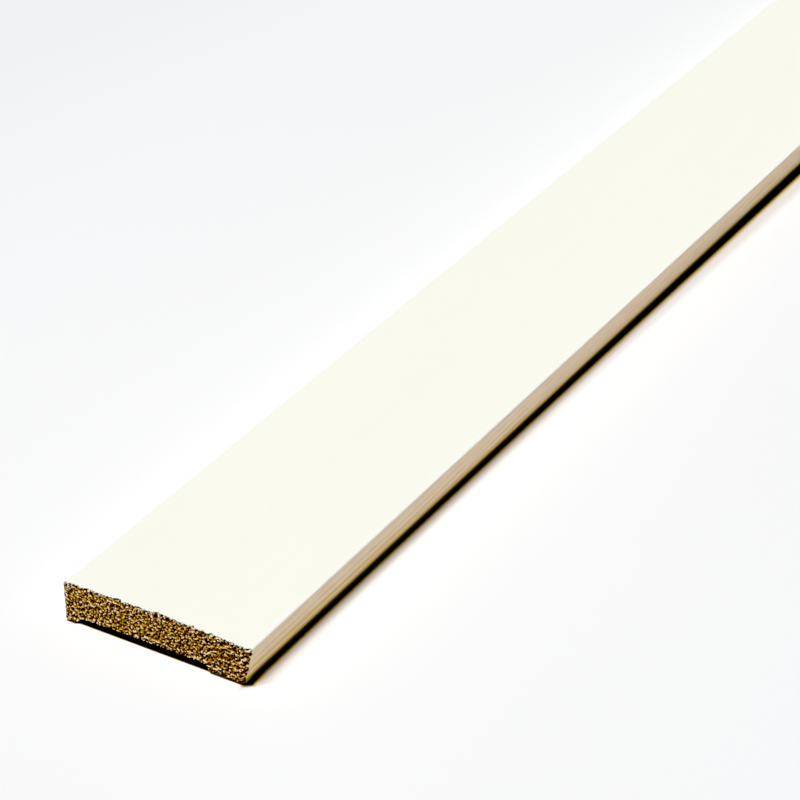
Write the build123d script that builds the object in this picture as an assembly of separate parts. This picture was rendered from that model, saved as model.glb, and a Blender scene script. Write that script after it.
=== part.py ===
from build123d import *

import os

# One length of plain painted softwood skirting board, lying on its back with the painted face up.
# X runs along the board, Y across it towards the top edge, and Z up through its thickness.
# The origin is under the middle of the board, in the plane that its back rests on.

# the board's length and section, in millimetres; the width is to the arrises before they are eased
board_length = 2400.0
board_width = 58.0
edge_thickness = 12.0

# the board has cupped: at mid width the face and the relief stand this much above their edges
cup_rise = 0.7

# the bottom edge slopes in behind the face, so that only the face meets the floor in use
bottom_edge_undercut = 2.6

# the eased arrises of the painted face, and of the back where it meets the bare bottom edge
top_arris_radius = 1.2
bottom_arris_radius = 0.5
back_arris_radius = 0.6

# the back bears on two lands, with a shallow relief planed between them
top_land_width = 3.4
bottom_land_width = 10.0
relief_depth = 2.05
top_flank_run = 2.0
bottom_flank_run = 1.2

# the planer knives leave the relief's corners slightly round
relief_corner_radius = 0.8

# places across the board
top_edge_y = board_width / 2
bottom_arris_y = -board_width / 2
bottom_sole_y = bottom_arris_y + bottom_edge_undercut
bottom_land_y = bottom_sole_y + bottom_land_width
bottom_flank_y = bottom_land_y + bottom_flank_run
top_land_y = top_edge_y - top_land_width
top_flank_y = top_land_y - top_flank_run


def cup_at(y):
    """Height of the cup's curve above the board's edges, at a place across its width."""
    share_of_half_width = y / (board_width / 2)
    return cup_rise * (1 - share_of_half_width**2)


def face_point(y):
    """A point on the painted face."""
    return (y, edge_thickness + cup_at(y))


def relief_point(y):
    """A point on the relief's floor, which follows the face."""
    return (y, relief_depth + cup_at(y))


def board_section():
    """The section across the board, with its arrises and the relief's corners eased."""
    relief_middle_y = (top_flank_y + bottom_flank_y) / 2
    with BuildSketch() as section:
        with BuildLine():
            ThreePointArc(face_point(top_edge_y), face_point(0), face_point(bottom_arris_y))
            Line(face_point(bottom_arris_y), (bottom_sole_y, 0))
            Line((bottom_sole_y, 0), (bottom_land_y, 0))
            Line((bottom_land_y, 0), relief_point(bottom_flank_y))
            ThreePointArc(
                relief_point(bottom_flank_y),
                relief_point(relief_middle_y),
                relief_point(top_flank_y),
            )
            Line(relief_point(top_flank_y), (top_land_y, 0))
            Line((top_land_y, 0), (top_edge_y, 0))
            Line((top_edge_y, 0), face_point(top_edge_y))
        make_face()
        for corner, radius in (
            (face_point(top_edge_y), top_arris_radius),
            (face_point(bottom_arris_y), bottom_arris_radius),
            ((bottom_sole_y, 0), back_arris_radius),
            (relief_point(top_flank_y), relief_corner_radius),
            (relief_point(bottom_flank_y), relief_corner_radius),
        ):
            fillet(section.vertices().sort_by_distance(corner)[0], radius)
    return section.sketch


def skirting_board():
    """The whole length, centred on what its eased arrises leave of the width."""
    board = extrude(Plane.YZ * board_section(), board_length / 2, both=True)
    return Pos(Y=-board.bounding_box().center().Y) * board


os.makedirs("parts", exist_ok=True)
export_step(skirting_board(), "parts/skirting_board.step")
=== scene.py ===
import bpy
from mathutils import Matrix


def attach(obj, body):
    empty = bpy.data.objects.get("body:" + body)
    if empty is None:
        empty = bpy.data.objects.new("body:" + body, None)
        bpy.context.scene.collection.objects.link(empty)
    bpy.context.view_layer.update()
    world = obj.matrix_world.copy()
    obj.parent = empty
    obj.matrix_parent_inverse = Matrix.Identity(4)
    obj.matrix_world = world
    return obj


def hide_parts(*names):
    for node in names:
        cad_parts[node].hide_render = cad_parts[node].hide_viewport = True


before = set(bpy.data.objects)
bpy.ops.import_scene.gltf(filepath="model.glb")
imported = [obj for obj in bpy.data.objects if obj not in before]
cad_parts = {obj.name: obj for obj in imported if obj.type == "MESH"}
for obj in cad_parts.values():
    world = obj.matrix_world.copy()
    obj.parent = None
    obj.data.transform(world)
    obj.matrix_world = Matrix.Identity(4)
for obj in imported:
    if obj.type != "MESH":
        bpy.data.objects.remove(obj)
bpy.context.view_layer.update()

import logging
import math
from dataclasses import dataclass
from enum import Enum
from typing import Any, Union

import bpy
from mathutils import Vector

log = logging.getLogger("skirting_board")

# meshes are in metres, and the patterns on wood and paint are worked out in millimetres
MM_PER_METRE = 1000.0

# a place in the section is (y, z), a span is where a fade starts and where it ends, a band is where
# something fades in and out again, and a size is measured round the rings and out from the pith
Place = tuple[float, float]
Span = tuple[float, float]
Band = tuple[Span, Span]
Size = tuple[float, float]
Point = tuple[float, float, float]
Colour = tuple[float, float, float]
Stops = tuple[tuple[float, Colour], ...]
Number = Union["Wire", float]
Tint = Union["Wire", Colour]


class End(Enum):
    """The two sawn ends, by the sign of X."""

    LEFT = -1.0
    RIGHT = 1.0


@dataclass(frozen=True)
class Waves:
    """Soft noise drawn out along the board, by how many waves a millimetre holds each way."""

    along: float
    across: float
    # how many finer waves are laid over the first, and how strong they are
    detail: float
    roughness: float = 0.5


@dataclass(frozen=True, eq=False)
class Wire:
    """A node's output that takes part in Python expressions."""

    tree: "Tree"
    socket: "bpy.types.NodeSocket | None"

    def __add__(self, other: Number) -> "Wire":
        """Self plus other."""
        return self.tree.maths("ADD", self, other)

    __radd__ = __add__

    def __sub__(self, other: Number) -> "Wire":
        """Self less other."""
        return self.tree.maths("SUBTRACT", self, other)

    def __rsub__(self, other: Number) -> "Wire":
        """Other less self."""
        return self.tree.maths("SUBTRACT", other, self)

    def __mul__(self, other: Number) -> "Wire":
        """Self times other."""
        return self.tree.maths("MULTIPLY", self, other)

    __rmul__ = __mul__

    def __truediv__(self, other: Number) -> "Wire":
        """Self divided by other."""
        return self.tree.maths("DIVIDE", self, other)

    def __rtruediv__(self, other: Number) -> "Wire":
        """Other divided by self."""
        return self.tree.maths("DIVIDE", other, self)

    def __pow__(self, other: Number) -> "Wire":
        """Self to the power of other."""
        return self.tree.maths("POWER", self, other)

    def __neg__(self) -> "Wire":
        """Self with the other sign."""
        return self * -1.0

    def __abs__(self) -> "Wire":
        """Self without its sign."""
        return self.tree.maths("ABSOLUTE", self)

    def above(self, other: Number) -> "Wire":
        """1 where self is more than other, else 0."""
        return self.tree.maths("GREATER_THAN", self, other)

    def held(self, low: float = 0.0, high: float = 1.0) -> "Wire":
        """Self, held between low and high."""
        return self.tree.add("ShaderNodeClamp", {0: self, 1: low, 2: high})

    def fade(self, low: float, high: float) -> "Wire":
        """0 where self is low, 1 where it is high, and a smooth turn between."""
        values = {"Value": self, "From Min": low, "From Max": high}
        return self.tree.add("ShaderNodeMapRange", values, interpolation_type="SMOOTHSTEP")

    def fall(self, low: float, high: float) -> "Wire":
        """1 where self is low, 0 where it is high, and a smooth turn between."""
        return 1.0 - self.fade(low, high)

    def band(self, rise: Span, ebb: Span) -> "Wire":
        """1 between the rise and the ebb, 0 outside them, and smooth turns between."""
        return self.fade(*rise) * self.fall(*ebb)

    def swing(self, most: Number) -> "Wire":
        """Noise round 0.5 as a change either way, up to half of most."""
        return (self - 0.5) * most

    def other(self, name: int | str) -> "Wire":
        """Another output of the same node."""
        return Wire(self.tree, self.socket.node.outputs[name])

    def parts(self) -> tuple["Wire", "Wire", "Wire"]:
        """The three numbers of a vector."""
        first = self.tree.add("ShaderNodeSeparateXYZ", {0: self})
        return first, first.other(1), first.other(2)


Spot = tuple[Wire, Wire, Wire]


@dataclass(frozen=True, eq=False)
class Tree:
    """Adds nodes to a shader or geometry node tree, which share their maths and textures."""

    nodes: bpy.types.NodeTree

    def add(
        self, kind: str, values: dict[int | str, Any] | None = None, output: int | str = 0, **settings: Any
    ) -> Wire:
        """Adds one node.

        Args:
            kind: The node's type.
            values: What its sockets get, as fill takes it.
            output: The output that the wire comes from.
            settings: The node's own settings, which are set first. A ramp's stops are one.

        Returns:
            The wire from that output.
        """
        node = self.nodes.nodes.new(kind)
        stops = settings.pop("stops", ())
        for name, value in settings.items():
            setattr(node, name, value)
        if stops:
            self.set_stops(node.color_ramp.elements, stops)
        self.fill(node, values or {})
        return Wire(self, node.outputs[output] if len(node.outputs) else None)

    def set_stops(self, steps: bpy.types.ColorRampElements, stops: Stops) -> None:
        """Gives a new ramp its stops. The two that it has already become the first and the last.

        Args:
            steps: The ramp's own stops.
            stops: The wanted ones, each a place from 0 to 1 and a colour, in order.
        """
        for n, (place, colour) in enumerate((stops[0], stops[-1], *stops[1:-1])):
            step = steps[n] if n < 2 else steps.new(place)
            step.position = place
            step.color = (*colour, 1.0)

    def fill(self, node: bpy.types.Node, values: dict[int | str, Any]) -> None:
        """Sets or links a node's sockets.

        Args:
            node: The node.
            values: Numbers, colours, wires or lists of wires for its sockets, by name or place.
        """
        for key, value in values.items():
            for one in value if isinstance(value, list) else [value]:
                if isinstance(one, Wire):
                    self.nodes.links.new(one.socket, node.inputs[key])
                else:
                    node.inputs[key].default_value = one

    def maths(self, operation: str, *values: Number) -> Wire:
        """A Math node on one or more values."""
        return self.add("ShaderNodeMath", dict(enumerate(values)), operation=operation)

    def most(self, first: Number, second: Number) -> Wire:
        """The higher of two values."""
        return self.maths("MAXIMUM", first, second)

    def point(self, x: Number = 0.0, y: Number = 0.0, z: Number = 0.0) -> Wire:
        """A vector of three values."""
        return self.add("ShaderNodeCombineXYZ", {0: x, 1: y, 2: z})

    def millimetres(self) -> Spot:
        """A place on the object, in millimetres."""
        x, y, z = self.add("ShaderNodeTexCoord", output="Object").parts()
        return x * MM_PER_METRE, y * MM_PER_METRE, z * MM_PER_METRE

    def noise(self, at: Wire, scale: float, detail: float, roughness: float = 0.5) -> Wire:
        """Soft noise round 0.5."""
        values = {"Vector": at, "Scale": scale, "Detail": detail, "Roughness": roughness}
        return self.add("ShaderNodeTexNoise", values)

    def drawn(self, spot: Spot, waves: Waves) -> Wire:
        """Soft noise round 0.5 that is drawn out along the board."""
        at = self.point(spot[0] * waves.along, spot[1] * waves.across, spot[2] * waves.across)
        return self.noise(at, 1.0, waves.detail, waves.roughness)

    def cells(self, at: Wire) -> Wire:
        """The distance to the nearest scattered point. Each unit square has one."""
        values = {"Vector": at, "Scale": 1.0, "Randomness": 1.0}
        return self.add("ShaderNodeTexVoronoi", values, "Distance", voronoi_dimensions="2D", feature="F1")

    def ramp(self, along: Wire, stops: Stops) -> Wire:
        """The colour of a ramp at a place along it, from 0 to 1."""
        return self.add("ShaderNodeValToRGB", {0: along}, stops=stops)

    def blend(self, way: str, first: Tint, second: Tint, share: Number = 1.0) -> Wire:
        """Puts two colours together.

        Args:
            way: One of the Mix node's ways.
            first: The first colour.
            second: The colour that is laid over it.
            share: How much of the second shows.

        Returns:
            The colour that they make.
        """
        first, second = ((*c, 1.0) if isinstance(c, tuple) else c for c in (first, second))
        values = {0: share, 6: first, 7: second}
        return self.add("ShaderNodeMix", values, 2, data_type="RGBA", blend_type=way)

    def mix(self, share: Number, first: Tint, second: Tint) -> Wire:
        """Goes from the first colour to the second."""
        return self.blend("MIX", first, second, share)

    def tint(self, colour: Tint, by: Wire) -> Wire:
        """A colour times a value that is the same for red, green and blue."""
        return self.blend("MULTIPLY", colour, self.add("ShaderNodeCombineColor", {0: by, 1: by, 2: by}))


def new_material(name: str) -> tuple[bpy.types.Material, Tree]:
    """Makes a material.

    Args:
        name: Its name.

    Returns:
        The material, and the tree that adds its nodes.
    """
    made = bpy.data.materials.new(name)
    made.use_nodes = True
    return made, Tree(made.node_tree)


def spread(line: list[Place], count: int) -> list[Place]:
    """Spaces points evenly along a line.

    Args:
        line: The line's corners.
        count: How many equal steps it gets.

    Returns:
        The count + 1 points.
    """
    walked = [0.0]
    for a, b in zip(line, line[1:]):
        walked.append(walked[-1] + math.dist(a, b))
    points, k = [], 0
    for n in range(count + 1):
        at = walked[-1] * n / count
        while k < len(line) - 2 and walked[k + 1] < at:
            k += 1
        run = walked[k + 1] - walked[k]
        share = (at - walked[k]) / run if run else 0.0
        points.append(tuple(p + (q - p) * share for p, q in zip(line[k], line[k + 1])))
    return points


def eased(before: Place, corner: Place, after: Place, radius: float, steps: int = 12) -> list[Place]:
    """The arc that eases a corner.

    Args:
        before: A place on the line that comes to the corner.
        corner: The corner.
        after: A place on the line that leaves it.
        radius: The arc's radius.
        steps: How many runs the arc has, an even number.

    Returns:
        Its points, with the middle of the arc at the middle of the list.
    """
    a, c, b = Vector(before), Vector(corner), Vector(after)
    u, v = (a - c).normalized(), (b - c).normalized()
    half = math.acos(max(-1.0, min(1.0, u.dot(v)))) / 2
    centre = c + (u + v).normalized() * (radius / math.sin(half))
    first, last = c + u * (radius / math.tan(half)), c + v * (radius / math.tan(half))
    start = math.atan2(first.y - centre.y, first.x - centre.x)
    turn = math.atan2(last.y - centre.y, last.x - centre.x) - start
    turn = (turn + math.pi) % (2 * math.pi) - math.pi
    angles = (start + turn * n / steps for n in range(steps + 1))
    return [(centre.x + radius * math.cos(t), centre.y + radius * math.sin(t)) for t in angles]


@dataclass(frozen=True)
class Section:
    """The board's length and section, with the sizes of the part's source, in metres."""

    length: float = 2.4
    width: float = 0.058
    edge_thickness: float = 0.012
    # a little less than in the source, so that the face stays inside the CAD node's box
    cup_rise: float = 0.00062
    undercut: float = 0.0026
    top_arris: float = 0.0012
    bottom_arris: float = 0.0005
    back_arris: float = 0.0006
    top_land: float = 0.0034
    bottom_land: float = 0.01
    relief_depth: float = 0.00205
    top_flank: float = 0.002
    bottom_flank: float = 0.0012
    relief_corner: float = 0.0008

    @property
    def half_length(self) -> float:
        """How far the sawn ends are from the middle of the board."""
        return self.length / 2

    @property
    def shift(self) -> float:
        """How far the section moves across, to be centred on what its eased arrises leave."""
        return -(self.width / 2 + min(y for y, _ in self.sides()["bottom_edge"])) / 2

    @property
    def reach(self) -> float:
        """How far the top edge is from the middle, to a hundredth of a millimetre."""
        return round(self.width / 2 + self.shift, 5)

    @property
    def sole_reach(self) -> float:
        """How far the foot of the bottom edge is from the middle, to a hundredth of a millimetre."""
        return round(self.width / 2 - self.undercut - self.shift, 5)

    @property
    def lean(self) -> float:
        """How far the bottom edge slopes in for each unit down."""
        return round(self.undercut / self.edge_thickness, 4)

    def cup(self, y: float) -> float:
        """Height of the cupped face above its edges."""
        return self.cup_rise * (1 - (2 * y / self.width) ** 2)

    def ceiling(self, y: float) -> Place:
        """A place on the relief, which follows the face."""
        return (y, self.relief_depth + self.cup(y))

    def curve(self, start: Place, end: Place, height: float, steps: int = 60) -> list[Place]:
        """A run that follows the cup between two places, at a height above it."""
        ys = (start[0] + (end[0] - start[0]) * n / steps for n in range(1, steps))
        return [start, *((y, height + self.cup(y)) for y in ys), end]

    def sides(self) -> dict[str, list[Place]]:
        """Draws the outline in four runs, which meet at the middles of the arrises.

        Returns:
            The face, the bottom edge, the back and the top edge, each as its points in order.
        """
        half = self.width / 2
        top, bottom = (half, self.edge_thickness), (-half, self.edge_thickness)
        sole, heel = (self.undercut - half, 0.0), (half, 0.0)
        low_foot, high_foot = (sole[0] + self.bottom_land, 0.0), (half - self.top_land, 0.0)
        low_ceiling = self.ceiling(low_foot[0] + self.bottom_flank)
        high_ceiling = self.ceiling(high_foot[0] - self.top_flank)
        # how much the face climbs over a short run inwards from its edges
        run = 0.01
        climb = run * (2 * self.cup_rise / half)
        at_top = eased(heel, top, (half - run, self.edge_thickness + climb), self.top_arris)
        at_bottom = eased((run - half, self.edge_thickness + climb), bottom, sole, self.bottom_arris)
        at_back = eased(bottom, sole, low_foot, self.back_arris)
        at_low = eased(low_foot, low_ceiling, high_ceiling, self.relief_corner)
        at_high = eased(low_ceiling, high_ceiling, high_foot, self.relief_corner)
        face = self.curve(at_top[-1], at_bottom[0], self.edge_thickness)
        ceiling = self.curve(at_low[-1], at_high[0], self.relief_depth)
        middle = len(at_top) // 2
        return {
            "face": at_top[middle:-1] + face + at_bottom[1 : middle + 1],
            "bottom_edge": at_bottom[middle:] + at_back[: middle + 1],
            "back": at_back[middle:] + [low_foot] + at_low[:-1] + ceiling + at_high[1:] + [high_foot, heel],
            "top_edge": [heel] + at_top[: middle + 1],
        }


@dataclass(frozen=True)
class CutFace:
    """A flat grid of quads over the section, from which both sawn ends and the outline are made."""

    section: Section = Section()
    across: int = 320
    high: int = 66

    @property
    def girth(self) -> int:
        """How many points the outline has."""
        return 2 * (self.across + self.high)

    def places(self) -> list[list[Place]]:
        """Lays the grid's points between the four sides of the section.

        Returns:
            The points in rows from the back up, each from the top edge to the bottom edge.
        """
        sides = self.section.sides()
        low = spread(sides["back"][::-1], self.across)
        top = spread(sides["face"], self.across)
        left = spread(sides["top_edge"], self.high)
        right = spread(sides["bottom_edge"][::-1], self.high)
        shift = self.section.shift
        rows = []
        for j in range(self.high + 1):
            s = j / self.high
            row = []
            for i in range(self.across + 1):
                t = i / self.across
                point = []
                for k in (0, 1):
                    ruled = (1 - s) * low[i][k] + s * top[i][k] + (1 - t) * left[j][k] + t * right[j][k]
                    corners = (1 - s) * ((1 - t) * low[0][k] + t * low[-1][k])
                    corners += s * ((1 - t) * top[0][k] + t * top[-1][k])
                    point.append(ruled - corners)
                row.append((point[0] + shift, point[1]))
            rows.append(row)
        return rows

    def outline(self) -> list[tuple[int, int]]:
        """Walks round the grid from the top arris over the face.

        Returns:
            The grid places of the outline, each as its column and row.
        """
        n, m = self.across, self.high
        over = [(i, m) for i in range(n)] + [(n, j) for j in range(m, 0, -1)]
        return over + [(i, 0) for i in range(n, 0, -1)] + [(0, j) for j in range(m)]

    def mesh(self) -> bpy.types.Mesh:
        """Makes the grid a mesh.

        Returns:
            The mesh, in the YZ plane, with the outline's points first and in order.
        """
        rows = self.places()
        order = self.outline()
        order += [(i, j) for j in range(1, self.high) for i in range(1, self.across)]
        number = {place: n for n, place in enumerate(order)}
        corners = ((0, 0), (1, 0), (1, 1), (0, 1))
        faces = [
            [number[i + a, j + b] for a, b in corners] for j in range(self.high) for i in range(self.across)
        ]
        mesh = bpy.data.meshes.new("cut_face")
        mesh.from_pydata([(0.0, *rows[j][i]) for i, j in order], [], faces)
        mesh.update()
        return mesh


@dataclass(frozen=True)
class Growth:
    """How the tree's rings lie in the board, in millimetres. The pith is above the face."""

    pith_y: float = 2.0
    pith_z: float = 72.0
    ring_width: float = 2.2
    first_ring: float = 0.27
    wander: float = 1.6
    # the rings climb once along the board, beyond the near end
    climb_start: float = 75.0
    climb_run: float = 85.0
    climb: float = 4.5

    def polar(self, tree: Tree, y: Wire, z: Wire) -> tuple[Wire, Wire]:
        """Measures a place from the pith.

        Args:
            tree: The tree that gets the nodes.
            y: The place across the board.
            z: The place through it.

        Returns:
            How far round the rings it is, and how far out from the pith.
        """
        side, down = y - self.pith_y, self.pith_z - z
        out = (side * side + down * down) ** 0.5
        return tree.maths("ARCTAN2", side, down) * self.pith_z, out

    def ring(self, tree: Tree, out: Wire, x: Number, y: Number) -> Wire:
        """How far a place is through its ring, from 0 in the early wood to 1 at the late wood's end."""
        drift = tree.noise(tree.point(x, y, out * 0.25), 0.045, 2.0).swing(self.wander)
        return tree.maths("FRACT", (out + drift) / self.ring_width + self.first_ring)


@dataclass(frozen=True)
class SawnGrain:
    """The torn grain of a cut end: tufts of fibre with pits between them, in millimetres."""

    section: Section = Section()
    growth: Growth = Growth()
    tuft: float = 0.6
    # sizes round the rings, and out from the pith
    pit: Size = (1.3, 0.96)
    tip: Size = (0.95, 0.8)
    streak: Size = (2.6, 0.58)
    # where a pit and a tip fade out, as shares of their size
    pit_fade: Span = (0.17, 0.43)
    tip_fade: Span = (0.07, 0.29)
    # the part of a ring that is late wood
    late_wood: Band = ((0.62, 0.9), (0.93, 1.0))
    # from which height of its noise tufts stand up more, and how far towards the bottom edge streaks and
    # rings gain
    torn_patch: Span = (0.35, 0.65)
    bold_streaks: Span = (2.0, 22.0)
    bold_rings: Span = (0.0, 20.0)
    # how high the surface lies where nothing lifts or sinks it
    level: float = 0.565
    tip_height: float = 0.62

    def scattered(self, tree: Tree, polar: tuple[Wire, Wire], size: Size, fade: Span, apart: Number) -> Wire:
        """Round marks over the end: 1 in the middle of a mark, and 0 between them."""
        round_pith, out = polar
        return tree.cells(tree.point(round_pith / size[0] + apart, out / size[1])).fall(*fade)

    def height(self, tree: Tree, y: Wire, z: Wire, side: Number) -> Wire:
        """Height of the torn surface, from 0 in a pit to 1 on a tuft.

        Args:
            tree: The tree that gets the nodes.
            y: The place across the board, in millimetres.
            z: The place through it.
            side: -1 at the left end and 1 at the right end, which tears in another way.

        Returns:
            The height, which the shape and the colour share.
        """
        polar = self.growth.polar(tree, y, z)
        round_pith, out = polar
        # side times a number starts each pattern elsewhere, and elsewhere again at the other end
        tufts = tree.noise(tree.point(y / self.tuft, z / self.tuft, side * 31.0), 1.0, 0.0)
        pits = self.scattered(tree, polar, self.pit, self.pit_fade, side * 31.0)
        tips = self.scattered(tree, polar, self.tip, self.tip_fade, side * 53.0)
        streak_at = tree.point(round_pith / self.streak[0], out / self.streak[1], side * 17.0)
        streaks = tree.noise(streak_at, 1.0, 1.0)
        patch = tree.noise(tree.point(y, z, side * 7.0), 0.3, 2.0)
        torn = 2.3 + tree.noise(tree.point(z, y, side * 11.0), 0.16, 1.0).fade(*self.torn_patch) * 1.3
        fine = tree.noise(tree.point(y, z, side * 3.0), 2.5, 1.0)
        ring = self.growth.ring(tree, out, side * (self.section.half_length * MM_PER_METRE), y)
        late = ring.band(*self.late_wood)
        # streaks and rings show more towards the bottom edge
        bold = 0.9 + (-y).fade(*self.bold_streaks) * 0.8
        rows = 0.06 + (-y).fade(*self.bold_rings) * 0.3
        rise = self.level + tufts.swing(torn) * 0.6 + streaks.swing(bold) + patch.swing(0.3) + fine.swing(0.9)
        deep = (1.2 + patch.swing(1.3)).held(0.4, 1.5)
        return (rise - pits * deep + tips * self.tip_height - late * rows).held()


@dataclass(frozen=True)
class PaintedPine:
    """Satin off-white paint on the face and top edge, and bare planed pine elsewhere, in millimetres."""

    section: Section = Section()
    growth: Growth = Growth()
    paint: Colour = (0.93, 0.93, 0.835)
    # a painted highlight along the bottom arris
    arris_highlight: Colour = (0.98, 0.98, 0.95)
    early_wood: Colour = (0.80, 0.655, 0.465)
    late_wood: Colour = (0.60, 0.44, 0.23)
    pale_wood: Colour = (0.93, 0.75, 0.57)
    flushed: Colour = (0.84, 0.60, 0.44)
    greyer_wood: Colour = (0.62, 0.52, 0.41)
    # the gold of the grain's lines and of the painted shade at the foot of the bottom edge, then that painted
    # shade's olive and near-black
    gold_grain_and_shade: Colour = (0.80, 0.54, 0.14)
    olive_shade: Colour = (0.54, 0.36, 0.004)
    painted_shade_black: Colour = (0.006, 0.001, 0.0002)
    # the patterns of the bare wood
    fibres: Waves = Waves(0.05, 2.3, 4.0, 0.62)
    streaks: Waves = Waves(0.13, 1.3, 2.0)
    ducts: Waves = Waves(0.16, 7.0, 1.0)
    flush: Waves = Waves(0.1, 1.1, 1.0)
    # the patterns of the paint: its ragged line, its chips, the grain that shows through, and clouds
    ragged: Waves = Waves(0.35, 2.0, 3.0)
    chips: Waves = Waves(0.8, 1.1, 2.0)
    grain: Waves = Waves(0.02, 0.9, 3.0)
    clouds: Waves = Waves(0.01, 0.04, 2.0)
    # the parts of a ring that are late wood and pale wood
    late_rings: Band = ((0.58, 0.88), (0.9, 1.0))
    pale_rings: Band = ((0.0, 0.25), (0.35, 0.6))
    # from which height of its noise each mark shows
    duct_marks: Span = (0.68, 0.76)
    gold_lines: Span = (0.48, 0.56)
    pale_lines: Span = (0.42, 0.49)
    flush_marks: Span = (0.48, 0.64)
    # where the paint starts: up the bottom arris, out towards the top edge, and up that edge
    face_from: Span = (11.28, 11.45)
    top_edge_from: Span = (28.1, 28.5)
    top_edge_above: Span = (0.35, 0.6)
    # how far from a sawn end it is chipped, and how far in from the bottom arris it carries a painted
    # highlight
    chipped: Span = (1.35, 1.7)
    arris_highlight_band: Span = (0.24, 0.64)
    # along the board, where the near end's clear lines give way to plain wood and the rings start to sway
    near_end: Span = (60.0, 170.0)
    sways: Span = (120.0, 300.0)
    # up the bottom edge: where the rings and then the lines grow faint, where its gold and pale lines
    # thin out, where it is flushed, and the greyer strip just under the paint
    faint_rings: Span = (3.5, 8.0)
    faint_lines: Span = (5.0, 9.0)
    lined: Span = (3.5, 8.5)
    flushed_above: Span = (3.0, 6.0)
    greyer_strip: Span = (10.9, 11.4)
    # the foot of the bottom edge, with painted shade where it nears the floor: gold, then olive, then
    # near-black, which starts past the end's tip
    gold_shade_top: float = 3.7
    gold_shade_run: float = 1.7
    olive_shade_below: Span = (1.55, 2.2)
    painted_shade_below: Span = (1.22, 1.5)
    tip: Span = (1.5, 4.5)
    # how deep the surface's finest marks are, in metres
    bump: float = 0.00012

    def material(self) -> bpy.types.Material:
        """Makes the long sides' material.

        Returns:
            The material.
        """
        made, tree = new_material("painted_pine")
        spot = tree.millimetres()
        coat = self.coat(tree, spot)
        wood, grain = self.wood(tree, spot)
        paint, stipple = self.painted(tree, spot)
        height = coat * stipple * 0.35 + (1.0 - coat) * grain
        marks = {"Height": height, "Strength": 0.35, "Distance": self.bump}
        values = {
            "Base Color": tree.mix(coat, wood, paint),
            "Roughness": 0.62 - coat * 0.16 + grain.swing(0.1),
            "Specular IOR Level": 0.2,
            "Normal": tree.add("ShaderNodeBump", marks, "Normal"),
        }
        tree.fill(made.node_tree.nodes["Principled BSDF"], values)
        return made

    def coat(self, tree: Tree, spot: Spot) -> Wire:
        """Finds where the paint covers the wood, with its broken lines at the arrises and the sawn ends.

        Args:
            tree: The tree that gets the nodes.
            spot: The place.

        Returns:
            1 on the paint, and 0 on bare wood.
        """
        x, y, z = spot
        ragged = tree.drawn(spot, self.ragged) - 0.5
        on_face = (z + ragged * 0.16).fade(*self.face_from)
        above_back = (z + ragged * 1.2).fade(*self.top_edge_above)
        on_top_edge = (y + ragged * 0.5).fade(*self.top_edge_from) * above_back
        from_end = self.section.half_length * MM_PER_METRE - abs(x)
        chips = (from_end + tree.drawn(spot, self.chips) * 3.0).fall(*self.chipped)
        return tree.most(on_face, on_top_edge) * (1.0 - chips * 0.7)

    def wood(self, tree: Tree, spot: Spot) -> tuple[Wire, Wire]:
        """Works out the bare pine, with the rings and lines that run along it.

        Args:
            tree: The tree that gets the nodes.
            spot: The place.

        Returns:
            The wood's colour, and the height of its grain.
        """
        x, y, z = spot
        along = x + self.section.half_length * MM_PER_METRE
        further = along.fade(*self.near_end)
        ring = self.ring(tree, spot, along)
        late = ring.band(*self.late_rings)
        clear = (1.0 - further * 0.55) * (1.25 - z.fade(*self.faint_rings) * 0.85)
        fibres = tree.drawn(spot, self.fibres)
        streaks = tree.drawn(spot, self.streaks)
        ducts = tree.drawn(spot, self.ducts).fade(*self.duct_marks)
        lines = tree.noise(tree.point(x * 0.004, y * 1.6, z * 1.6 + 3.0), 1.0, 1.0)
        clear_lines = 1.5 - z.fade(*self.faint_lines)
        depth = late * clear * 0.62 + fibres.swing(1.1) + streaks.swing(1.7) + ducts * 0.25
        depth = (depth + lines.swing(clear_lines)).held()
        colour = tree.mix(depth, self.early_wood, self.late_wood)
        pale = ring.band(*self.pale_rings) * clear
        colour = tree.mix((pale * 0.8).held(), colour, self.pale_wood)
        low = z.fall(*self.lined)
        near = 1.0 - further * 0.7
        colour = tree.mix(lines.fade(*self.gold_lines) * low * near * 0.75, colour, self.gold_grain_and_shade)
        between = lines.fall(*self.pale_lines) * low.fade(0.0, 0.7) * near
        colour = tree.mix(between, colour, self.pale_wood)
        flush = tree.drawn(spot, self.flush).fade(*self.flush_marks)
        colour = tree.mix(flush * z.fade(*self.flushed_above) * 0.4, colour, self.flushed)
        colour = tree.mix(z.fade(*self.greyer_strip) * 0.7, colour, self.greyer_wood)
        # painted shade at the foot of the bottom edge, where it nears the floor
        colour = self.paint_foot_shade(tree, colour, z + fibres.swing(0.6), along)
        return colour, fibres + late * 0.3

    def ring(self, tree: Tree, spot: Spot, along: Wire) -> Wire:
        """Follows the rings along the board, where they climb and sway.

        Args:
            tree: The tree that gets the nodes.
            spot: The place.
            along: Its distance from the left end.

        Returns:
            The share of the ring that is behind the place.
        """
        x, y, z = spot
        growth = self.growth
        climb = along.fade(growth.climb_start, growth.climb_start + growth.climb_run) * growth.climb
        sway = tree.noise(tree.point(along * 0.004, y * 0.01), 1.0, 1.0).swing(9.0) * along.fade(*self.sways)
        _, out = growth.polar(tree, y, z - climb - sway)
        return growth.ring(tree, out, x * 0.15, y * 0.1)

    def paint_foot_shade(self, tree: Tree, colour: Wire, above_floor: Wire, along: Wire) -> Wire:
        """Paints shade on the foot of the bottom edge, where it nears the floor.

        Args:
            tree: The tree that gets the nodes.
            colour: The wood's colour.
            above_floor: The ragged height above the floor.
            along: The distance from the left end.

        Returns:
            The colour with the painted shade.
        """
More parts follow.
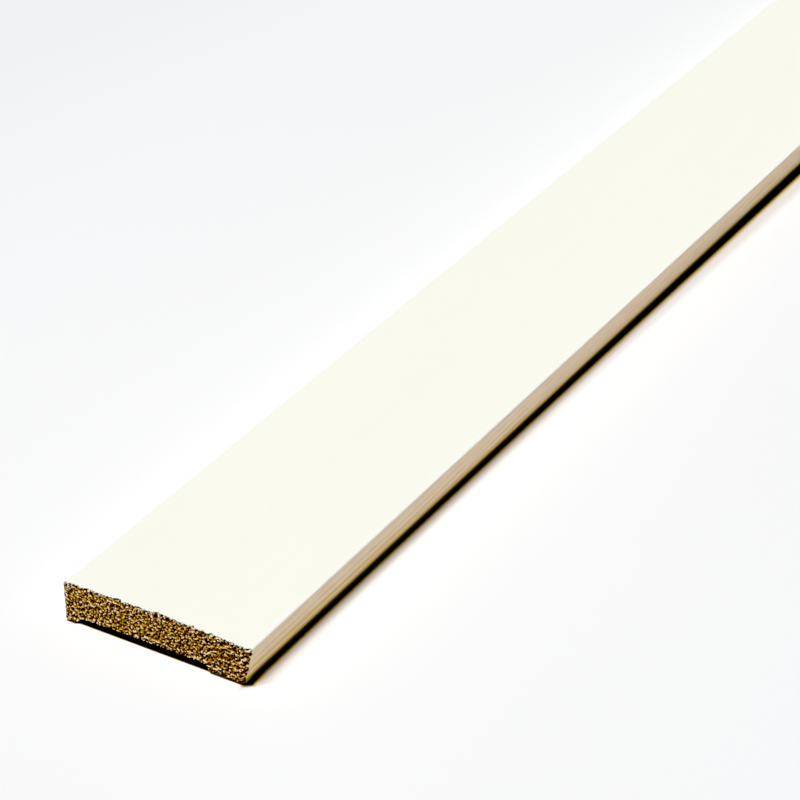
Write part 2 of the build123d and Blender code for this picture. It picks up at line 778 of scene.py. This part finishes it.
        # painted shade: gold, then olive, then near-black towards the floor, with less black by the left
        # end's tip
        gold_shade = ((self.gold_shade_top - above_floor) / self.gold_shade_run).held(0.0, 0.9)
        colour = tree.mix(gold_shade, colour, self.gold_grain_and_shade)
        colour = tree.mix(above_floor.fall(*self.olive_shade_below) * 0.97, colour, self.olive_shade)
        dark = 0.98 - along.fall(*self.tip) * 0.7
        return tree.mix(above_floor.fall(*self.painted_shade_below) * dark, colour, self.painted_shade_black)

    def painted(self, tree: Tree, spot: Spot) -> tuple[Wire, Wire]:
        """Works out the paint, which shows the grain a little and has a painted highlight along the bottom
        arris.

        Args:
            tree: The tree that gets the nodes.
            spot: The place.

        Returns:
            The paint's colour, and the height of its surface.
        """
        _, y, _ = spot
        grain = tree.drawn(spot, self.grain)
        stipple = tree.noise(tree.point(*spot), 1.6, 2.0)
        clouds = tree.drawn(spot, self.clouds)
        shade = 1.0 + grain.swing(0.012) + clouds.swing(0.02) + stipple.swing(0.01)
        # a painted highlight: paler paint along the bottom arris
        highlight_share = (y + self.section.reach * MM_PER_METRE).fall(*self.arris_highlight_band)
        colour = tree.mix(highlight_share * 0.6, tree.tint(self.paint, shade), self.arris_highlight)
        return colour, stipple * 0.6 + grain * 0.4


@dataclass(frozen=True)
class TornPine:
    """The sawn ends: pits in dark brown, gold fibre and cream tips, in millimetres."""

    section: Section = Section()
    grain: SawnGrain = SawnGrain()
    paint: Colour = (0.93, 0.92, 0.82)
    # the near-black of the painted shade at the foot of each sawn end
    painted_shade_black: Colour = (0.012, 0.004, 0.001)
    # the wood's colour by the height of its torn surface: partly its own, and partly painted shade that
    # darkens the pits and painted highlight that lightens the tips
    stops: Stops = (
        (0.0, (0.012, 0.0, 0.0)),
        (0.22, (0.03, 0.0, 0.0)),
        (0.37, (0.16, 0.02, 0.0)),
        (0.5, (0.36, 0.14, 0.0)),
        (0.68, (0.52, 0.275, 0.0)),
        (0.86, (0.76, 0.46, 0.01)),
        (1.0, (1.0, 0.88, 0.68)),
    )
    # how the paint's broken edge reaches down over the torn wood, more so towards the bottom edge, and up to
    # where the painted shade at the foot ends
    smear: Span = (0.36, 0.5)
    smear_fall: float = 0.25
    smeared_more: Span = (12.0, 22.0)
    painted_shade_below: Span = (0.2, 0.6)
    # how deep the surface's finest marks are, in metres
    bump: float = 0.0002

    def material(self) -> bpy.types.Material:
        """Makes the sawn ends' material.

        Returns:
            The material.
        """
        made, tree = new_material("sawn_pine")
        x, y, z = tree.millimetres()
        side = tree.maths("SIGN", x)
        height = self.grain.height(tree, y, z, side)
        strand = tree.noise(tree.point(y, z, x), 7.0, 2.0)
        # colour by height: darker pits and paler tips, partly painted shade and painted highlight
        colour = tree.ramp(height + strand.swing(0.22), self.stops)
        smear = tree.noise(tree.point(y, z, side * 5.0), 1.7, 2.0) - self.below_face(y, z) * self.smear_fall
        smeared = (smear + (-y).fade(*self.smeared_more) * 0.12).fade(*self.smear) * height.fade(0.0, 0.35)
        colour = tree.mix(smeared * 0.85, colour, self.paint)
        ragged = tree.noise(tree.point(y, 0.0, side), 0.7, 2.0)
        lift = ragged.swing(1.2) + strand.swing(0.4) - (-y).fade(15.0, 18.0) * 0.3
        # painted shade: near-black at the foot of the end, with a ragged top
        colour = tree.mix((z + lift).fall(*self.painted_shade_below) * 0.95, colour, self.painted_shade_black)
        marks = {"Height": strand, "Strength": 0.5, "Distance": self.bump}
        bump = tree.add("ShaderNodeBump", marks, "Normal")
        values = {"Base Color": colour, "Roughness": 1.0, "Specular IOR Level": 0.02, "Normal": bump}
        tree.fill(made.node_tree.nodes["Principled BSDF"], values)
        return made

    def below_face(self, y: Wire, z: Wire) -> Wire:
        """How far a place in the section is below the cupped face.

        Args:
            y: The place across the board.
            z: The place through it.

        Returns:
            The depth.
        """
        half = self.section.width / 2 * MM_PER_METRE
        cup = self.section.cup_rise * MM_PER_METRE
        return self.section.edge_thickness * MM_PER_METRE + cup - y * y * (cup / half**2) - z


@dataclass(frozen=True)
class BoardShape:
    """The geometry nodes that draw the section out to the board's length and tear its ends."""

    cut: CutFace = CutFace()
    grain: SawnGrain = SawnGrain()
    stations: int = 41
    pit_depth: float = 0.0005
    chip_depth: float = 0.0006
    seed: float = 4.0
    # where an end chips: by the face and by the back, from which height of its noise on, and where the face
    # chips less, towards the bottom edge
    by_face: Span = (11.2, 12.3)
    by_back: Span = (0.15, 0.6)
    broken: Span = (0.46, 0.68)
    firm: Span = (12.0, 22.0)
    # how deep the corners by the bottom edge and the top edge have worn, and over how many millimetres
    bottom_worn: float = 0.0014
    bottom_worn_run: float = 1.1
    top_worn: float = 0.0009
    top_worn_run: float = 0.8
    # points closer than this are one point
    weld: float = 2e-7
    # the map that the looks are baked on: the long sides take its foot, and each end a strip above them
    side_share: float = 0.545
    margin: float = 0.002
    end_share: float = 0.22
    left_strip: float = 0.555
    right_strip: float = 0.78
    strip_width: float = 0.06
    strip_height: float = 0.013

    def sockets(self) -> dict[str, tuple[str, Any]]:
        """Lists the tree's inputs.

        Returns:
            Each input's socket type and value, by its name.
        """
        return {
            "Length": ("NodeSocketFloat", self.cut.section.length),
            "Stations": ("NodeSocketInt", self.stations),
            "Girth": ("NodeSocketInt", self.cut.girth),
            "Pit depth": ("NodeSocketFloat", self.pit_depth),
            "Chip depth": ("NodeSocketFloat", self.chip_depth),
            "Seed": ("NodeSocketFloat", self.seed),
        }

    def tree(self, sides: bpy.types.Material, ends: bpy.types.Material) -> bpy.types.NodeTree:
        """Builds the node tree.

        Args:
            sides: The long sides' material.
            ends: The sawn ends' material.

        Returns:
            The tree.
        """
        group = bpy.data.node_groups.new("board_shape", "GeometryNodeTree")
        group.interface.new_socket("Geometry", in_out="INPUT", socket_type="NodeSocketGeometry")
        for name, (kind, _) in self.sockets().items():
            group.interface.new_socket(name, in_out="INPUT", socket_type=kind)
        group.interface.new_socket("Geometry", in_out="OUTPUT", socket_type="NodeSocketGeometry")
        tree = Tree(group)
        given = tree.add("NodeGroupInput")
        left, right = (self.cap(tree, given, end, ends) for end in End)
        around = self.sleeve(tree, given, [left, right], sides)
        whole = tree.add("GeometryNodeJoinGeometry", {0: [left, around, right]})
        whole = tree.add("GeometryNodeMergeByDistance", {"Geometry": whole, "Distance": self.weld})
        whole = tree.add("GeometryNodeRealizeInstances", {"Geometry": whole})
        tree.add("NodeGroupOutput", {0: whole})
        return group

    def mapped(self, tree: Tree, mesh: Wire, place: Wire) -> Wire:
        """Gives a mesh its map, from each corner's place on it."""
        values = {"Geometry": mesh, "Name": "OFBake", "Value": place}
        return tree.add("GeometryNodeStoreNamedAttribute", values, data_type="FLOAT2", domain="CORNER")

    def dressed(self, tree: Tree, mesh: Wire, finish: bpy.types.Material) -> Wire:
        """Smooths a mesh's shading and gives it a material."""
        mesh = tree.add("GeometryNodeSetShadeSmooth", {"Geometry": mesh, "Shade Smooth": True})
        return tree.add("GeometryNodeSetMaterial", {"Geometry": mesh, "Material": finish})

    def cap(self, tree: Tree, given: Wire, end: End, finish: bpy.types.Material) -> Wire:
        """Makes one sawn end: the grid in its place, mapped and torn.

        Args:
            tree: The tree that gets the nodes.
            given: The tree's inputs.
            end: Which end it is.
            finish: The sawn ends' material.

        Returns:
            The end's mesh.
        """
        whole = given.other("Geometry")
        if end is End.LEFT:
            whole = tree.add("GeometryNodeFlipFaces", {"Mesh": whole})
        _, y, z = tree.add("GeometryNodeInputPosition").parts()
        strip = self.left_strip if end is End.LEFT else self.right_strip
        place = tree.point(y / self.strip_width + 0.5, z / self.strip_height * self.end_share + strip)
        whole = self.mapped(tree, whole, place)
        depth = self.tear(tree, given, y, z, end)
        offset = tree.point(given.other("Length") * (end.value / 2) - depth * end.value)
        whole = tree.add("GeometryNodeSetPosition", {"Geometry": whole, "Offset": offset})
        return self.dressed(tree, whole, finish)

    def tear(self, tree: Tree, given: Wire, y: Wire, z: Wire, end: End) -> Wire:
        """Tears an end's surface: pits all over it, chips along the face and the back, and worn corners.

        Args:
            tree: The tree that gets the nodes.
            given: The tree's inputs.
            y: The place across the board, in metres.
            z: The place through it.
            end: Which end it is.

        Returns:
            How far the torn surface lies behind the end's tips, in metres.
        """
        section = self.cut.section
        reach, thickness = section.reach * MM_PER_METRE, section.edge_thickness * MM_PER_METRE
        y, z = y * MM_PER_METRE, z * MM_PER_METRE
        height = self.grain.height(tree, y, z, end.value)
        on_outline = given.other("Girth").above(tree.add("GeometryNodeInputIndex"))
        pits = (1.0 - height) * (1.0 - on_outline * 0.55)
        broken = tree.noise(tree.point(y, z, given.other("Seed") + end.value * 3.0), 0.5, 3.0)
        firm = 1.0 - (-y).fade(*self.firm) * 0.75
        by_face = z.fade(*self.by_face) * broken.fade(*self.broken) * firm
        chips = tree.most(by_face, z.fall(*self.by_back) * 0.4)
        from_bottom = y + reach - (thickness - z) * section.lean
        bottom = (1.0 - from_bottom / self.bottom_worn_run).held()
        bottom = bottom * (0.55 + broken.swing(1.6)).held(0.2, 1.2)
        top = (1.0 - (reach - y) / self.top_worn_run).held()
        top = top * (0.62 - z * 0.022 + broken.swing(0.8)).held(0.1, 1.0)
        torn = pits * given.other("Pit depth") + chips * given.other("Chip depth")
        return torn + bottom * self.bottom_worn + top * self.top_worn

    def sleeve(self, tree: Tree, given: Wire, caps: list[Wire], finish: bpy.types.Material) -> Wire:
        """Draws the long sides between the two ends' outlines, with stations crowded at the ends.

        Args:
            tree: The tree that gets the nodes.
            given: The tree's inputs.
            caps: The left end and the right end.
            finish: The long sides' material.

        Returns:
            The sides' mesh.
        """
        girth, stations = given.other("Girth"), given.other("Stations")
        size = {"Size X": 1.0, "Size Y": 1.0, "Vertices X": stations, "Vertices Y": girth + 1.0}
        mesh = tree.add("GeometryNodeMeshGrid", size)
        index = tree.add("GeometryNodeInputIndex")
        station = tree.maths("FLOOR", (index + 0.5) / (girth + 1.0))
        column = index - station * (girth + 1.0)
        wrapped = tree.maths("MODULO", column, girth)
        (x0, y0, z0), (x1, _, _) = (self.place_on(tree, cap, wrapped) for cap in caps)
        # from -1 at the left end to 1 at the right end: even steps, and steps that shrink at both ends
        even = station * 2.0 / (stations - 1.0) - 1.0
        crowded = tree.maths("SIGN", even) * (1.0 - (1.0 - abs(even)) ** 3.0)
        share = crowded * 0.5 + 0.5
        place = tree.point(x0 + (x1 - x0) * share, y0, z0)
        mesh = tree.add("GeometryNodeSetPosition", {"Geometry": mesh, "Position": place})
        # the map is between the two, so that the torn ends get more of it than their length
        along = even * 0.25 + crowded * 0.249 + 0.5
        mesh = self.mapped(tree, mesh, tree.point(along, column / girth * self.side_share + self.margin))
        mesh = tree.add("GeometryNodeFlipFaces", {"Mesh": mesh})
        return self.dressed(tree, mesh, finish)

    def place_on(self, tree: Tree, cap: Wire, index: Wire) -> Spot:
        """The place of one point of a sawn end."""
        values = {"Geometry": cap, "Value": tree.add("GeometryNodeInputPosition"), "Index": index}
        return tree.add("GeometryNodeSampleIndex", values, data_type="FLOAT_VECTOR", domain="POINT").parts()


def plain_mesh(carrier: bpy.types.Object, name: str) -> bpy.types.Object:
    """Turns what an object's modifiers make into a plain mesh object, and removes the carrier.

    Args:
        carrier: The object with the modifiers.
        name: The new object's name.

    Returns:
        The new object, at the origin.
    """
    graph = bpy.context.evaluated_depsgraph_get()
    shaped = carrier.evaluated_get(graph)
    mesh = bpy.data.meshes.new_from_object(shaped, preserve_all_data_layers=True, depsgraph=graph)
    mesh.name = name
    made = bpy.data.objects.new(name, mesh)
    bpy.context.scene.collection.objects.link(made)
    bpy.data.objects.remove(carrier)
    return made


@dataclass
class SkirtingBoard:
    """The board: one piece of painted pine, sawn off at both ends."""

    shape: BoardShape = BoardShape()
    sides: PaintedPine = PaintedPine()
    ends: TornPine = TornPine()
    crease: float = math.radians(38.0)

    def build(self) -> bpy.types.Object:
        """Makes the board in place of its CAD node.

        Returns:
            The board.
        """
        carrier = bpy.data.objects.new("board_carrier", self.shape.cut.mesh())
        bpy.context.scene.collection.objects.link(carrier)
        group = self.shape.tree(self.sides.material(), self.ends.material())
        modifier = carrier.modifiers.new("board_shape", "NODES")
        modifier.node_group = group
        values = self.shape.sockets()
        for item in group.interface.items_tree:
            if item.name in values and item.in_out == "INPUT":
                modifier[item.identifier] = values[item.name][1]
        board = plain_mesh(carrier, "painted_board")
        board.data.set_sharp_from_angle(angle=self.crease)
        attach(board, "root")
        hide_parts("skirting_board")
        return board


@dataclass
class Studio:
    """A white floor under one large overhead softbox, seen from the photograph's angle, in metres."""

    section: Section = Section()
    camera_place: Point = (-1.6716, -0.3553, 0.43227)
    camera_look: Point = (0.7328, 0.4398, -0.5191)
    lens: float = 128.4
    film: float = 36.0
    nearest: float = 0.01
    # a painted pool of light: the floor is white near the board's left end, and pale grey beyond the board
    # and further along it
    floor_reach: float = 40.0
    near_floor: Colour = (0.998, 0.999, 1.0)
    far_floor: Colour = (0.88, 0.89, 0.908)
    pool_reach: float = 0.26
    pool_start: float = -1.1
    pool_run: float = 0.35
    # how much of the light the floor gives back at the left end, and how much more for each metre along
    floor_share: float = 0.947
    floor_gain: float = 0.018
    # where the matt floor, which takes shadows, turns into a plain glow
    glows: Span = (0.04, 0.16)
    # the contact shade beside the bottom edge, before a sawn end, and past the corner between the two: how
    # far each runs out over the floor, in millimetres, and its colours at shares of that run
    beside_run: float = 16.0
    beside: Stops = (
        (0.056, (0.0, 0.0, 0.0)),
        (0.072, (0.06, 0.03, 0.002)),
        (0.094, (0.58, 0.39, 0.05)),
        (0.125, (0.83, 0.70, 0.47)),
        (0.1625, (0.75, 0.71, 0.69)),
        (0.25, (0.77, 0.755, 0.75)),
        (0.375, (0.96, 0.96, 0.96)),
        (1.0, (1.0, 1.0, 1.0)),
    )
    before_run: float = 0.45
    before: Stops = (
        (0.0, (0.0, 0.0, 0.0)),
        (0.3, (0.06, 0.014, 0.0)),
        (0.5, (0.32, 0.13, 0.01)),
        (0.75, (0.78, 0.52, 0.2)),
        (1.0, (1.0, 1.0, 1.0)),
    )
    corner_run: float = 3.5
    corner: Stops = (
        (0.0, (0.0, 0.0, 0.0)),
        (0.1, (0.03, 0.015, 0.003)),
        (0.2, (0.28, 0.18, 0.06)),
        (0.3, (0.55, 0.43, 0.3)),
        (0.44, (0.87, 0.83, 0.8)),
        (0.65, (0.93, 0.92, 0.915)),
        (1.0, (1.0, 1.0, 1.0)),
    )
    # along the board from the left end, in metres: where the shade grows wider and moves out, and up to
    # where the end makes it wider, moves it out, and has only the corner's shade
    growing: Span = (0.08, 0.4)
    end_wider: Span = (0.01, 0.05)
    end_moved: Span = (0.0, 0.009)
    tip: Span = (0.0, 0.0025)
    # out from the bottom edge, in millimetres, where the end's shade turns into the corner's
    turn: Span = (-1.4, 0.2)
    # where the relief in the back starts and ends, across the board in metres
    relief_from: Span = (-0.0168, -0.0158)
    relief_to: Span = (0.0246, 0.0256)
    # how far in from the top edge the contact shade starts, in metres
    top_edge_in: float = 0.0005
    softbox_distance: float = 24.0
    softbox_along: float = 6.0
    softbox_across: float = 7.4
    # how far the softbox leans to the left and to the top edge, in degrees
    softbox_lean: float = 17.0
    softbox_side: float = 1.2
    level: float = 1.05
    # level lamps: each one's name, the side that it shines from, and its strength
    fills: tuple[tuple[str, Point, float], ...] = (
        ("fill_bottom_edge", (0.0, -1.0, 0.0), 1.0),
        ("fill_top_edge", (0.0, 1.0, 0.0), 0.2),
        ("fill_right_end", (1.0, 0.0, 0.0), 1.2),
    )
    fill_spread: float = 3.0

    def camera(self) -> None:
        """The camera at the photograph's angle."""
        data = bpy.data.cameras.new("camera")
        data.lens = self.lens
        data.sensor_width = self.film
        data.clip_start = self.nearest
        camera = bpy.data.objects.new("camera", data)
        camera.location = self.camera_place
        camera.rotation_mode = "QUATERNION"
        camera.rotation_quaternion = Vector(self.camera_look).to_track_quat("-Z", "Y")
        bpy.context.scene.collection.objects.link(camera)
        bpy.context.scene.camera = camera

    def floor(self) -> None:
        """The floor, which keeps the board's shadow."""
        reach = self.floor_reach
        corners = [(-reach, -reach, 0), (reach, -reach, 0), (reach, reach, 0), (-reach, reach, 0)]
        mesh = bpy.data.meshes.new("floor")
        mesh.from_pydata(corners, [], [(0, 1, 2, 3)])
        mesh.materials.append(self.floor_material())
        floor = bpy.data.objects.new("floor", mesh)
        bpy.context.scene.collection.objects.link(floor)

    def floor_material(self) -> bpy.types.Material:
        """Makes the floor's material: matt near the board, and a plain glow further away.

        Returns:
            The material.
        """
        made, tree = new_material("white_floor")
        made.node_tree.nodes.remove(made.node_tree.nodes["Principled BSDF"])
        x, y, _ = tree.add("ShaderNodeTexCoord", output="Object").parts()
        past_side = tree.most(abs(y) - self.section.reach, 0.0)
        past_end = tree.most(abs(x) - self.section.half_length, 0.0)
        away = (past_side * past_side + past_end * past_end) ** 0.5
        further = ((x - self.pool_start) / self.pool_run).held() * 0.3
        # a painted pool of light round the board's left end
        white = tree.mix((away / self.pool_reach + further).held(), self.near_floor, self.far_floor)
        share = self.floor_share + (x + self.section.half_length) * self.floor_gain
        lit = tree.blend("MULTIPLY", white, self.contact_shade(tree, x, y))
        matt = tree.add("ShaderNodeBsdfDiffuse", {"Color": tree.tint(lit, share)})
        glow = tree.add("ShaderNodeEmission", {"Color": white, "Strength": 1.0})
        seen = tree.add("ShaderNodeLightPath", output="Is Camera Ray")
        both = tree.add("ShaderNodeMixShader", {0: away.fade(*self.glows) * seen, 1: matt, 2: glow})
        tree.fill(made.node_tree.nodes["Material Output"], {"Surface": both})
        return made

    def contact_shade(self, tree: Tree, x: Wire, y: Wire) -> Wire:
        """Draws the deepest part of the shade that the board throws on the floor at its own foot.

        Args:
            tree: The tree that gets the nodes.
            x: The place along the board, in metres.
            y: The place across it.

        Returns:
            The shade's colour, which is white in the open.
        """
        from_left = x + self.section.half_length
        aside = (-self.section.sole_reach - y) * MM_PER_METRE
        out = (abs(x) - self.section.half_length) * MM_PER_METRE
        # beside the bottom edge it grows wider along the board
        far_off = from_left.fade(*self.growing)
        width = 0.94 + far_off * 0.5 + from_left.fall(*self.end_wider) * 0.1
        from_edge = aside - from_left.fall(*self.end_moved) * 0.55 - far_off * 0.95
        beside = tree.ramp(from_edge / width / self.beside_run, self.beside)
        # before a sawn end it is deepest at the back's two lands, and less deep under the relief
        relief = y.band(self.relief_from, self.relief_to)
        low_land = y.fall(*self.relief_from)
        before = tree.ramp((out + 0.3 + relief * 0.62 + low_land * 0.15) / self.before_run, self.before)
        # past the corner it curves round
        outwards = tree.most(aside, 0.0)
        beyond = out + outwards * (0.5 + outwards * 0.13) - 0.15
        corner = tree.ramp((beyond + 0.9) / self.corner_run, self.corner)
        before = tree.mix(aside.fade(*self.turn), before, corner)
        both = tree.blend("LIGHTEN", beside, before)
        both = tree.mix(from_left.fall(*self.tip), both, before)
        # past the top edge the lamps' own shadow is enough
        return tree.mix(y.above(self.section.reach - self.top_edge_in), both, (1.0, 1.0, 1.0))

    def world(self) -> None:
        """White for what is seen directly or mirrored, and dark as a light, so the floor's shadow stays."""
        made = bpy.data.worlds.new("studio")
        bpy.context.scene.world = made
        made.use_nodes = True
        tree = Tree(made.node_tree)
        path = tree.add("ShaderNodeLightPath", output="Is Camera Ray")
        seen = tree.most(tree.most(path, path.other("Is Glossy Ray")), path.other("Is Transmission Ray"))
        values = {"Color": (1.0, 1.0, 1.0, 1.0), "Strength": seen}
        tree.fill(made.node_tree.nodes["Background"], values)

    def lamps(self) -> None:
        """The softbox over everything, and level fills, which miss the floor and the face."""
        lean, side = math.radians(self.softbox_lean), math.radians(self.softbox_side)
        towards = Vector((-math.sin(lean), math.sin(side), math.cos(lean))).normalized()
        data = bpy.data.lights.new("overhead_softbox", "AREA")
        data.shape = "RECTANGLE"
        data.size = self.softbox_along
        data.size_y = self.softbox_across
        # this much makes a white floor at the left end about as bright as the level
        data.energy = self.level * math.pi**2 * self.softbox_distance**2 / towards.z
        softbox = bpy.data.objects.new("overhead_softbox", data)
        softbox.location = Vector((-self.section.half_length, 0.0, 0.0)) + towards * self.softbox_distance
        softbox.rotation_mode = "QUATERNION"
        softbox.rotation_quaternion = towards.to_track_quat("Z", "Y")
        softbox.visible_camera = False
        softbox.visible_glossy = False
        bpy.context.scene.collection.objects.link(softbox)
        for name, aim, strength in self.fills:
            lamp = bpy.data.lights.new(name, "SUN")
            lamp.energy = strength
            lamp.angle = math.radians(self.fill_spread)
            fill = bpy.data.objects.new(name, lamp)
            fill.rotation_mode = "QUATERNION"
            fill.rotation_quaternion = Vector(aim).to_track_quat("Z", "Y")
            bpy.context.scene.collection.objects.link(fill)


def main() -> None:
    """Builds the studio and the board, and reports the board."""
    logging.basicConfig(level=logging.INFO, format="%(name)s: %(message)s")
    bpy.context.scene.view_settings.view_transform = "Standard"
    studio = Studio()
    studio.camera()
    studio.floor()
    studio.world()
    board = SkirtingBoard().build()
    log.info("%s: %d faces, one length of painted pine", board.name, len(board.data.polygons))
    studio.lamps()


if __name__ == "__main__":
    main()
